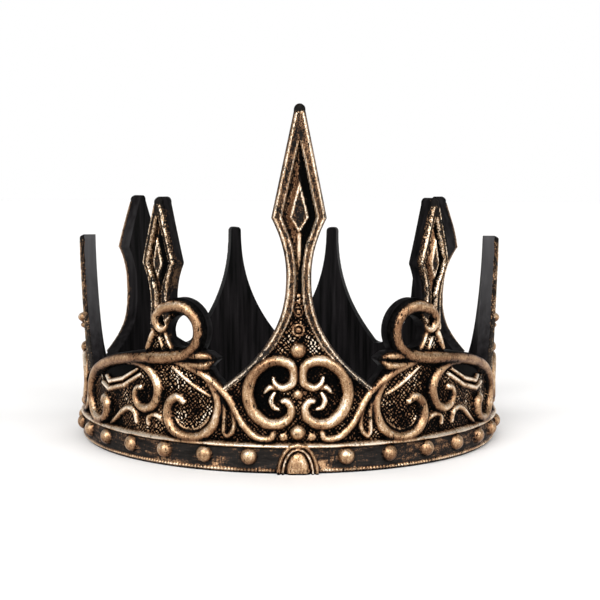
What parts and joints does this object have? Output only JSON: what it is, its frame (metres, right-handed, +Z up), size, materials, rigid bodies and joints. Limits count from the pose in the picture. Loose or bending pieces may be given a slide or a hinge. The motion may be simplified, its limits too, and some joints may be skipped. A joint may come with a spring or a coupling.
{
  "type": "costume crown",
  "caption": "Moulded foam costume crown: a studded band carrying a scroll-carved wall that rises into spear-headed points and plain spires, tallest at the front, to wear on the head.",
  "frame": {"origin": "on the ring's axis at the base of the band", "axes": "+Z up through the points, -Y towards the tall front spear, +X to the wearer's left"},
  "size_m": [0.2072, 0.2068, 0.1538],
  "materials": {
    "bronzed_foam": "black skin with antique bronze dry-brushed over the raised carving"
  },
  "bodies": {
    "root": {"crown": "bronzed_foam"}
  },
  "joints": []
}
